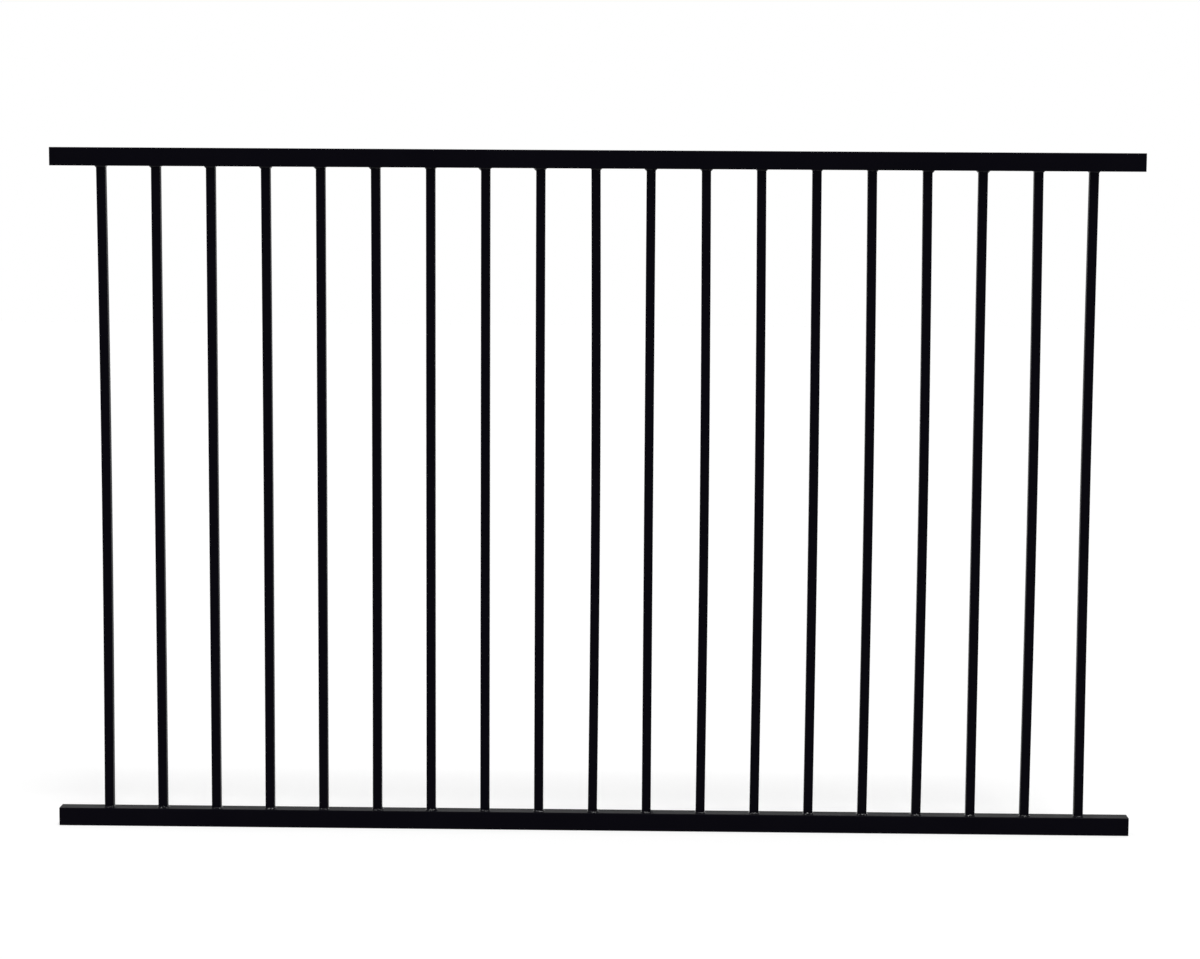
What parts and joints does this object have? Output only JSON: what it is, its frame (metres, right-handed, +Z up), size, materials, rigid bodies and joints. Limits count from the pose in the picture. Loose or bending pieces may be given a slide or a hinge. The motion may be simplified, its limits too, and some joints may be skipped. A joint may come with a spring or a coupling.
{
  "type": "steel fence panel",
  "caption": "Flat welded steel fence panel: evenly spaced upright square-tube pickets between a top and a bottom square-tube rail, for fixing between posts.",
  "frame": {"origin": "lower edge of the bottom rail's left end face, in the middle of its depth", "axes": "+X along the rails to the right as seen from the front, +Y from the front to the back, +Z up"},
  "size_m": [2.38, 0.04, 1.505],
  "materials": {
    "black_powder_coat": "satin"
  },
  "bodies": {
    "root": {"bottom_rail": "black_powder_coat", "top_rail": "black_powder_coat", "bottom_welds": "black_powder_coat", "top_welds": "black_powder_coat", "picket_01": "black_powder_coat", "picket_02": "black_powder_coat", "picket_03": "black_powder_coat", "picket_04": "black_powder_coat", "picket_05": "black_powder_coat", "picket_06": "black_powder_coat", "picket_07": "black_powder_coat", "picket_08": "black_powder_coat", "picket_09": "black_powder_coat", "picket_10": "black_powder_coat", "picket_11": "black_powder_coat", "picket_12": "black_powder_coat", "picket_13": "black_powder_coat", "picket_14": "black_powder_coat", "picket_15": "black_powder_coat", "picket_16": "black_powder_coat", "picket_17": "black_powder_coat", "picket_18": "black_powder_coat", "picket_19": "black_powder_coat"}
  },
  "joints": []
}
